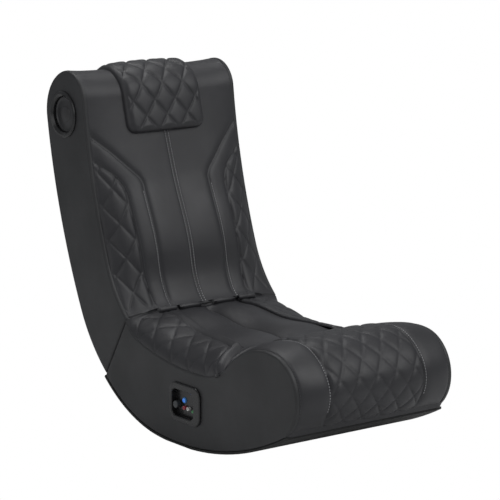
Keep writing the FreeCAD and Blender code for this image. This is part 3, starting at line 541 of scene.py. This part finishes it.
def seat_at_depth(y):
    """Distance from the crease at which the top of the seat reaches a depth."""
    return np.interp(-np.asarray(y), -SEAT_DEPTHS[:SEAT_ROWS], TABLE[:SEAT_ROWS])


# Back
BACK_FROM = -0.001
BACK_TO = 0.784
FRONT_ENDS = (0.56, 0.60)
SIDE_FADE = (0.001, 0.012)
SEAM_VALLEY = (0.0048, 0.009)
MIDDLE_VALLEY = (0.0034, 0.008)
BACK_QUILT_AT = (0.2, 0.568)
BACK_QUILT = (0.0547, 0.077, 0.0026, 0.0022)
BACK_QUILT_TOP = (0.606, 0.598)
CHANNEL_HALF = 0.045
CHANNEL_SWELL = 0.0008
CHANNEL_TOP = (0.56, 0.50)
BACK_BORDER = 0.0075


def back_relief(x, s, spot):
    """Seams, quilted outer bands, swelling channels and rolled border of the back."""
    ax, z = np.abs(x), spot[:, 2]
    front = (1 - blended(*FRONT_ENDS, s)) * blended(*SIDE_FADE, PANEL_HALF - ax)
    relief = sewn(distance_to(INNER_SEAM, ax, z), *SEAM_VALLEY) * front
    relief += sewn(distance_to(OUTER_SEAM, ax, z), *SEAM_VALLEY) * front
    relief += sewn(ax, *MIDDLE_VALLEY) * front
    relief *= near_crease(s, 0.035, 0.06)
    outside = blended(0, 0.004, ax - line_at(OUTER_SEAM, z)) * blended(*BACK_QUILT_TOP, z) * front
    quilt = diamonds(ax - BACK_QUILT_AT[0], z - BACK_QUILT_AT[1], *BACK_QUILT)
    relief += quilt * outside * near_crease(s, 0.030)
    swell = np.clip(1 - ((ax - CHANNEL_HALF) / CHANNEL_HALF) ** 2, 0, 1)
    relief += CHANNEL_SWELL * swell * blended(*CHANNEL_TOP, z) * front
    border = np.minimum(PANEL_HALF - ax, BACK_TO - s)
    return relief + rolled_edge(border, BACK_BORDER) + crease_fold(x, s - BACK_FROM)


def back_place(u, v):
    """Places on the back's cover, from side to side and from the crease up."""
    return (2 * u - 1) * PANEL_HALF, BACK_FROM + v * (BACK_TO - BACK_FROM)


def back_panel():
    """Padded cover of the back, from the crease up and over the top."""
    obj = padded_sheet("back_quilted_cover", back_surface, back_place, back_relief, 170, 270, bunch=0.35)
    finished(obj, "back_quilted_cover", LEATHER, 70)
    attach(obj, "back")
    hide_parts("back_cushion")


THREAD_LIFT = 0.0004
BESIDE_SEAM = 0.0045
BESIDE_MIDDLE = 0.0042
STITCHED_FROM = 0.262
MIDDLE_STITCHED_TO = 0.648
PALE_STITCHED_TO = 0.52
INNER_STITCHED_TO = 0.65
OUTER_STITCHED_TO = 0.595


def back_stitching():
    """Topstitching beside the seams of the back."""
    pale, dark = [], []
    middle = back_at_height(np.linspace(STITCHED_FROM, MIDDLE_STITCHED_TO, 180))
    for x in (-BESIDE_MIDDLE, BESIDE_MIDDLE):
        pale.append(sewn_points(back_surface, back_relief, np.full(180, x), middle, THREAD_LIFT))
    runs = ((INNER_SEAM, STITCHED_FROM, PALE_STITCHED_TO, BESIDE_SEAM, pale),
            (INNER_SEAM, PALE_STITCHED_TO, INNER_STITCHED_TO, BESIDE_SEAM, dark),
            (OUTER_SEAM, STITCHED_FROM, OUTER_STITCHED_TO, -BESIDE_SEAM, dark))
    for side in (-1, 1):
        for seam, low, high, offset, rows in runs:
            z = np.linspace(low, high, 160)
            x = line_at(seam, z) + offset
            rows.append(sewn_points(back_surface, back_relief, side * x, back_at_height(z), THREAD_LIFT))
    thread("back_pale_stitching", pale, THREAD_GREY, "back")
    thread("back_dark_stitching", dark, THREAD_DARK, "back")


HEAD_FROM = float(back_at_height(0.645))
HEAD_TO = 0.700
HEAD_CORNER = 0.024
HEAD_THICK = 0.0165
HEAD_TURN = (0.49, 0.60)
HEAD_BORDER = 0.0135
HEAD_QUILT_FROM = 0.036
HEAD_QUILT = (0.0575, 0.072, 0.0028, 0.0022)


def headrest_place(u, v):
    """Places on the pad, whose outline has rounded corners."""
    s = HEAD_FROM + v * (HEAD_TO - HEAD_FROM)
    near = np.clip(HEAD_CORNER - np.minimum(s - HEAD_FROM, HEAD_TO - s), 0, HEAD_CORNER)
    half = HEADREST_HALF - HEAD_CORNER + np.sqrt(HEAD_CORNER**2 - near**2)
    return (2 * u - 1) * half, s


def headrest_relief(x, s, spot):
    """Thickness, quilting and rolled border of the pad; it is a little thinner over the top."""
    ax = np.abs(x)
    end = np.minimum(s - HEAD_FROM, HEAD_TO - s)
    side = HEADREST_HALF - ax
    past_side = np.clip(HEAD_CORNER - side, 0, None)
    past_end = np.clip(HEAD_CORNER - end, 0, None)
    in_corner = (side < HEAD_CORNER) & (end < HEAD_CORNER)
    border = np.where(in_corner, HEAD_CORNER - np.hypot(past_side, past_end), np.minimum(side, end))
    quilt = diamonds(x, s - HEAD_FROM - HEAD_QUILT_FROM, *HEAD_QUILT)
    over_top = blended(*HEAD_TURN, s)
    thick = HEAD_THICK - 0.0025 * over_top - 0.004 * (ax / HEADREST_HALF) ** 3
    turned = rolled_edge(border, HEAD_BORDER) * (1 - 0.2 * over_top)
    return thick + quilt * blended(0.006, 0.016, border) + turned


def headrest():
    """Quilted pad that drapes over the top of the back."""
    obj = padded_sheet("headrest_quilted_pad", back_surface, headrest_place, headrest_relief,
                       120, 150, 0.010, bunch=0.3)
    finished(obj, "headrest_quilted_pad", LEATHER, 70)
    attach(obj, "back")
    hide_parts("headrest_pad")


# Seat centre
SEAT_FROM = 0.0
VALLEY_Y = -0.200
ROLL_FROM = float(seat_at_depth(VALLEY_Y))
ROLL_TO = 0.8065
SEAT_VALLEY = (0.0105, 0.026)
SEAT_SWELL = 0.005
SEAT_BORDER = 0.0065
TUCKED = 0.003
WING_STARTS_AT = -0.176


def wing_inner(y):
    """Distance from the middle of the seam between the seat's centre and a wing."""
    return np.interp(-np.asarray(y), (-0.155, 0.182), (0.090, 0.130))


def seat_centre_place(u, v):
    """Places on the centre, which widens in front of the wings."""
    s = ROLL_FROM + v * (SEAT_FROM - ROLL_FROM)
    y = np.interp(s, TABLE, SEAT_DEPTHS)
    half = wing_inner(y) + TUCKED + 0.09 * blended(-0.172, VALLEY_Y, y)
    return (2 * u - 1) * half, s


def seat_centre_relief(x, s, spot):
    """Two swelling halves drawn down by the valley between them."""
    ax, y = np.abs(x), spot[:, 1]
    inner = wing_inner(y)
    relief = sewn(ax, *SEAT_VALLEY) * near_crease(s, 0.075, 0.15)
    swell = np.clip(np.sin(math.pi * np.clip(ax / inner, 0, 1)), 0, 1)
    relief += SEAT_SWELL * swell * blended(0, 0.05, ROLL_FROM - s)
    beside = np.where(y > WING_STARTS_AT, inner + TUCKED - ax, 0.03)
    border = np.minimum(np.clip(beside, 0, None), ROLL_FROM - s)
    turned = rolled_edge(border, SEAT_BORDER) * near_crease(s, 0.05, 0.12, 0.006)
    return relief + turned + crease_fold(x, s - SEAT_FROM)


def seat_centre():
    """Padded cover between the two wings."""
    obj = padded_sheet("seat_centre_cover", seat_surface, seat_centre_place, seat_centre_relief,
                       120, 150)
    finished(obj, "seat_centre_cover", LEATHER, 70)
    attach(obj, "seat")
    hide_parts("seat_cushion")


# Wings
WING_EDGE = 0.2149
WING_SPAN = (0.130, 0.215)
WING_ENDS = (-0.178, -0.214)
WING_BAND = 0.022
WING_QUILT_AT = (0.181, 0.079)
WING_QUILT = (0.066, 0.066, 0.0018, 0.0012)
WING_VALLEY = (0.0030, 0.007)
WING_INNER_BORDER = 0.0070
WING_SIDE_BORDER = 0.008
WING_END_BORDER = 0.0215
WING_TIP = 0.0060


def wing_end(ax):
    """Depth at which a wing ends, which slants forward to the side."""
    return np.interp(ax, WING_SPAN, WING_ENDS)


def wing_places(side):
    """Places on one wing, from its front end back to the crease."""
    def place(u, v):
        u = u if side > 0 else 1 - u
        start = seat_at_depth(wing_end(WING_SPAN[0] + u * (WING_SPAN[1] - WING_SPAN[0])))
        s = start + v * (SEAT_FROM - start)
        inner = wing_inner(np.interp(s, TABLE, SEAT_DEPTHS))
        return side * (inner + u * (WING_EDGE - inner)), s
    return place


def wing_relief(x, s, spot):
    """A bolster with a plain band round its quilted middle, rolled over at its three free edges."""
    ax, y = np.abs(x), spot[:, 1]
    inner = ax - wing_inner(y)
    end = (y - wing_end(ax)) * 0.95
    rise = 0.0050 * blended(0.217, 0.110, ax) + 0.002 * blended(0.215, 0.2, ax)
    rise += 0.0085 * blended(0.130, 0.180, ax) * blended(0.219, 0.196, ax) * blended(0.0, 0.05, s)
    tip = WING_TIP * blended(0.075, 0.005, end)
    strip = blended(0.020, 0.024, inner) * blended(0.020, 0.024, end)
    quilt = diamonds(ax - WING_QUILT_AT[0], y - WING_QUILT_AT[1], *WING_QUILT)
    quilt *= strip * near_crease(s, 0.035)
    along = np.where(end > WING_BAND, np.abs(inner - WING_BAND), 1)
    across = np.where(inner > WING_BAND, np.abs(end - WING_BAND), 1)
    fold = sewn(np.minimum(along, across), *WING_VALLEY) * near_crease(s, 0.035, 0.2)
    turned = rolled_edge(np.clip(inner, 0, None), WING_INNER_BORDER) * near_crease(s, 0.035, 0.12)
    turned += rolled_edge(np.clip(end, 0, None), WING_END_BORDER)
    over = rolled_edge(np.clip(WING_EDGE - ax, 0, None), WING_SIDE_BORDER)
    return rise + tip + quilt + fold + turned + over + crease_fold(x, s - SEAT_FROM)


def wings():
    """Quilted bolsters that run over the side edges."""
    for side, label in ((-1, "left"), (1, "right")):
        obj = padded_sheet("seat_wing_cover_" + label, seat_surface, wing_places(side), wing_relief,
                           70, 170)
        finished(obj, "seat_wing_cover_" + label, LEATHER, 70)
        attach(obj, "seat")
        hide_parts("seat_wing_" + label)


# Front roll
ROLL_SEAM = 0.128
ROLL_HALF = 0.2132
ROLL_VALLEY = (0.0055, 0.013)
ROLL_QUILT_AT = 0.560
ROLL_QUILT = (0.0515, 0.066, 0.0023, 0.0017)
ROLL_SIDE_BORDER = 0.016
ROLL_BACK_BORDER = 0.012
ROLL_LOW_BORDER = 0.003


def roll_place(u, v):
    """Places on the roll's cover, from side to side and from its lower edge up and back."""
    s = ROLL_TO + v * (ROLL_FROM - ROLL_TO)
    return (2 * u - 1) * ROLL_HALF, s


def roll_relief(x, s, spot):
    """Plain ends and a quilted middle, with a seam between them on each side."""
    ax = np.abs(x)
    relief = sewn(np.abs(ax - ROLL_SEAM), *ROLL_VALLEY) * blended(ROLL_FROM, ROLL_FROM + 0.05, s)
    relief *= blended(ROLL_TO, ROLL_TO - 0.035, s)
    inside = blended(0.001, 0.005, ROLL_SEAM - ax) * blended(ROLL_FROM + 0.055, ROLL_FROM + 0.085, s)
    relief += diamonds(x, s - ROLL_QUILT_AT, *ROLL_QUILT) * inside
    side = rolled_edge(ROLL_HALF - ax, ROLL_SIDE_BORDER)
    rear = rolled_edge(s - ROLL_FROM, ROLL_BACK_BORDER)
    return relief + side + rear + rolled_edge(ROLL_TO - s, ROLL_LOW_BORDER)


def front_roll():
    """Padded cover of the roll under the knees."""
    obj = padded_sheet("front_roll_cover", seat_surface, roll_place, roll_relief, 190, 230)
    finished(obj, "front_roll_cover", LEATHER, 70)
    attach(obj, "seat")
    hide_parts("front_roll")


BAND_TOP = (-0.4465, 0.1170)
BAND_LEAN = 0.004
BAND_TALL = 0.045
BASE_NOSE_Y = -0.433
BAND_GAP = 0.0005


def lower_front():
    """Padded band of cover between the front roll and the base."""
    base = frame["nodes"]["base_cover"].data.vertices
    bottom = max(v.co.z for v in base if v.co.y < BASE_NOSE_Y) + BAND_GAP

    def surface(x, t):
        return x, BAND_TOP[0] + BAND_LEAN * t, BAND_TOP[1] + (bottom - BAND_TOP[1]) * t

    def place(u, v):
        return (2 * u - 1) * ROLL_HALF, 1 - v

    def relief(x, t, spot):
        return 0.0025 + rolled_edge(ROLL_HALF - np.abs(x), 0.012) + rolled_edge((1 - t) * BAND_TALL, 0.004)

    obj = padded_sheet("front_lower_band", surface, place, relief, 100, 24, 0.004)
    finished(obj, "front_lower_band", LEATHER, 70)
    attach(obj, "seat")


ROLL_END_STITCH = 0.204


def roll_stitching():
    """Pale stitching outside the two seams of the roll, and dark stitching along its ends."""
    pale, dark = [], []
    s = np.linspace(ROLL_FROM + 0.03, ROLL_TO - 0.05, 300)
    for side in (-1, 1):
        for x, rows in ((ROLL_SEAM + BESIDE_SEAM, pale), (ROLL_END_STITCH, dark)):
            rows.append(sewn_points(seat_surface, roll_relief, np.full(300, side * x), s, THREAD_LIFT, -1))
    thread("roll_pale_stitching", pale, THREAD_GREY, "seat")
    thread("roll_dark_stitching", dark, THREAD_DARK, "seat")


# Crease and split
STRIP_HALF = 0.2045
STRIP_RADIUS = 0.0040
STRIP_WALL = 0.0008
STRIP_MIDDLE = 130
STRIP_SWEEP = 75
STRIP_SUNK = (0.007, 0.011)


def crease_strip():
    """Loose strip of cover bent round the hinge at the bottom of the crease."""
    deselect()
    bpy.ops.mesh.primitive_grid_add(x_subdivisions=60, y_subdivisions=12, size=2)
    obj = bpy.context.object
    for vertex in obj.data.vertices:
        angle = math.radians(STRIP_MIDDLE + STRIP_SWEEP * vertex.co.y)
        x = vertex.co.x * STRIP_HALF
        sunk = 1 - float(eased_pairs(BACK_SHARE, x))
        y = HINGE_AT[0] + STRIP_RADIUS * math.cos(angle) + STRIP_SUNK[0] * sunk
        z = HINGE_AT[1] + STRIP_RADIUS * math.sin(angle) - STRIP_SUNK[1] * sunk
        vertex.co = (x, y, z)
    solid = obj.modifiers.new("Wall", "SOLIDIFY")
    solid.thickness = STRIP_WALL
    apply_all(obj)
    finished(obj, "crease_cover_strip", LINING, 60)
    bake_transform(obj)
    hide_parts("crease_gusset")


LINING_WIDE = 0.406
LINING_THICK = 0.0003
LINING_FROM = 0.016
LINING_TO = 0.158


def split_lining(name, body, offset):
    """Thin lining on one face of the split, seen when the back is folded down."""
    deselect()
    bpy.ops.mesh.primitive_cube_add(size=1)
    obj = bpy.context.object
    for vertex in obj.data.vertices:
        x, u, v = vertex.co
        down = LINING_FROM + (v + 0.5) * (LINING_TO - LINING_FROM)
        across = offset + u * LINING_THICK
        vertex.co = (x * LINING_WIDE, HINGE_AT[0] + REAR_OF_SPLIT[0] * across + DOWN_SPLIT[0] * down,
                     HINGE_AT[1] + REAR_OF_SPLIT[1] * across + DOWN_SPLIT[1] * down)
    choose(obj)
    bpy.ops.object.mode_set(mode="EDIT")
    bpy.ops.mesh.select_all(action="SELECT")
    bpy.ops.mesh.subdivide(number_cuts=6)
    bpy.ops.mesh.normals_make_consistent(inside=False)
    bpy.ops.object.mode_set(mode="OBJECT")
    finished(obj, name, LINING, 30)
    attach(obj, body)


# Speakers, with the face's radius and its distance from the middle of the chair
FACE_PROFILE = ((0.0000, 0.2118), (0.0100, 0.2120), (0.0180, 0.2108), (0.0190, 0.2098), (0.0300, 0.2076),
                (0.0360, 0.2084), (0.0385, 0.2104), (0.0405, 0.2104), (0.0416, 0.2090), (0.0416, 0.2040),
                (0.0000, 0.2040))


def speaker_face(side, label):
    """Dished speaker face with a raised dome and a rolled rim, turned about the speaker's axis."""
    deselect()
    bpy.ops.mesh.primitive_circle_add(vertices=4, radius=1)
    obj = bpy.context.object
    mesh = obj.data
    mesh.clear_geometry()
    points = [(side * out, SPEAKER_AT[0], SPEAKER_AT[1] + radius) for radius, out in FACE_PROFILE]
    mesh.from_pydata(points, [(i, i + 1) for i in range(len(points) - 1)], [])
    choose(obj)
    bpy.ops.object.mode_set(mode="EDIT")
    bpy.ops.mesh.select_all(action="SELECT")
    bpy.ops.mesh.spin(steps=64, angle=math.tau, center=(0, *SPEAKER_AT), axis=(1, 0, 0))
    bpy.ops.mesh.select_all(action="SELECT")
    bpy.ops.mesh.remove_doubles(threshold=0.00002)
    bpy.ops.mesh.normals_make_consistent(inside=False)
    bpy.ops.object.mode_set(mode="OBJECT")
    finished(obj, "speaker_face_" + label, CONE, 25)
    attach(obj, "back")
    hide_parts("speaker_grille_" + label)


# Control panel light
MARK_RADIUS = 0.0036
MARK_DOT = 0.0010
MARK_BAR_STEP = 0.0008


def power_mark():
    """Lit ring and bar on the power button."""
    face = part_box("power_button")[0][0] - 0.0001
    ring = []
    for angle in np.radians(np.arange(125, 416, 10)):
        ring.append((MARK_RADIUS * math.cos(angle), MARK_RADIUS * math.sin(angle)))
    bar = [(0, MARK_BAR_STEP * step) for step in range(6)]
    made = []
    for y, z in ring + bar:
        deselect()
        bpy.ops.mesh.primitive_cube_add(size=MARK_DOT, location=(face, POWER_AT[0] + y, POWER_AT[1] + z))
        made.append(bpy.context.object)
    deselect()
    for obj in made:
        obj.select_set(True)
    bpy.context.view_layer.objects.active = made[0]
    bpy.ops.object.join()
    obj = finished(bpy.context.object, "power_light_mark", BLUE_LIGHT, 30)
    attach(obj, "power_button_body")


# Studio
def white_to_camera(tree, plain, white, target):
    """Shows the camera plain white, and everything else the surface's own shader."""
    path = tree.nodes.new("ShaderNodeLightPath")
    mix = tree.nodes.new("ShaderNodeMixShader")
    tree.links.new(path.outputs["Is Camera Ray"], mix.inputs[0])
    tree.links.new(plain.outputs[0], mix.inputs[1])
    tree.links.new(white.outputs[0], mix.inputs[2])
    tree.links.new(mix.outputs[0], target.inputs["Surface"])


def studio():
    """Pale floor and pale surroundings."""
    deselect()
    bpy.ops.mesh.primitive_plane_add(size=30, location=(0, 0, 0))
    floor = bpy.context.object
    floor.name = "floor"
    material = bpy.data.materials.new("pale_floor")
    material.use_nodes = True
    tree = material.node_tree
    shader = tree.nodes["Principled BSDF"]
    shader.inputs["Base Color"].default_value = (0.8, 0.8, 0.8, 1)
    shader.inputs["Roughness"].default_value = 0.9
    white = tree.nodes.new("ShaderNodeEmission")
    white.inputs["Color"].default_value = (1, 1, 1, 1)
    white_to_camera(tree, shader, white, tree.nodes["Material Output"])
    floor.data.materials.append(material)
    world = bpy.data.worlds.new("studio")
    bpy.context.scene.world = world
    world.use_nodes = True
    tree = world.node_tree
    around = tree.nodes["Background"]
    around.inputs["Color"].default_value = (0.95, 0.97, 1.0, 1)
    around.inputs["Strength"].default_value = 0.26
    seen = tree.nodes.new("ShaderNodeBackground")
    seen.inputs["Color"].default_value = (1, 1, 1, 1)
    white_to_camera(tree, around, seen, tree.nodes["World Output"])


def softbox(name, place, aim, wide, tall, power):
    """Rectangular soft light turned to a point of the chair."""
    light = bpy.data.lights.new(name, "AREA")
    light.shape = "RECTANGLE"
    light.size = wide
    light.size_y = tall
    light.energy = power
    obj = bpy.data.objects.new(name, light)
    bpy.context.collection.objects.link(obj)
    obj.location = place
    obj.rotation_euler = (Vector(aim) - Vector(place)).to_track_quat("-Z", "Y").to_euler()


LENS = 177.3
SENSOR = 36
CAMERA_AT = (-3.2530, -4.3737, 1.4957)
CAMERA_TOWARD = (0.5876, 0.7851, -0.1957)


def camera():
    """Camera at the photograph's viewing angle."""
    lens = bpy.data.cameras.new("camera")
    lens.lens = LENS
    lens.sensor_width = SENSOR
    obj = bpy.data.objects.new("camera", lens)
    bpy.context.collection.objects.link(obj)
    obj.location = CAMERA_AT
    obj.rotation_euler = Vector(CAMERA_TOWARD).to_track_quat("-Z", "Y").to_euler()
    bpy.context.scene.camera = obj
    bpy.context.scene.view_settings.view_transform = "Standard"


dress_frame()
back_panel()
back_stitching()
headrest()
seat_centre()
wings()
front_roll()
lower_front()
roll_stitching()
crease_strip()
split_lining("seat_split_lining", "seat", -0.0002)
split_lining("back_split_lining", "back", 0.0002)
power_mark()
speaker_face(-1, "left")
speaker_face(1, "right")
studio()
softbox("key", (1.6, -2.6, 3.2), (0, 0, 0.35), 2.6, 2.6, 62)
softbox("fill", (-3.4, -0.8, 1.9), (0, 0, 0.4), 2.2, 2.2, 15)
softbox("top", (0.2, 0.9, 3.4), (0, 0.1, 0.4), 2.4, 1.6, 40)
camera()
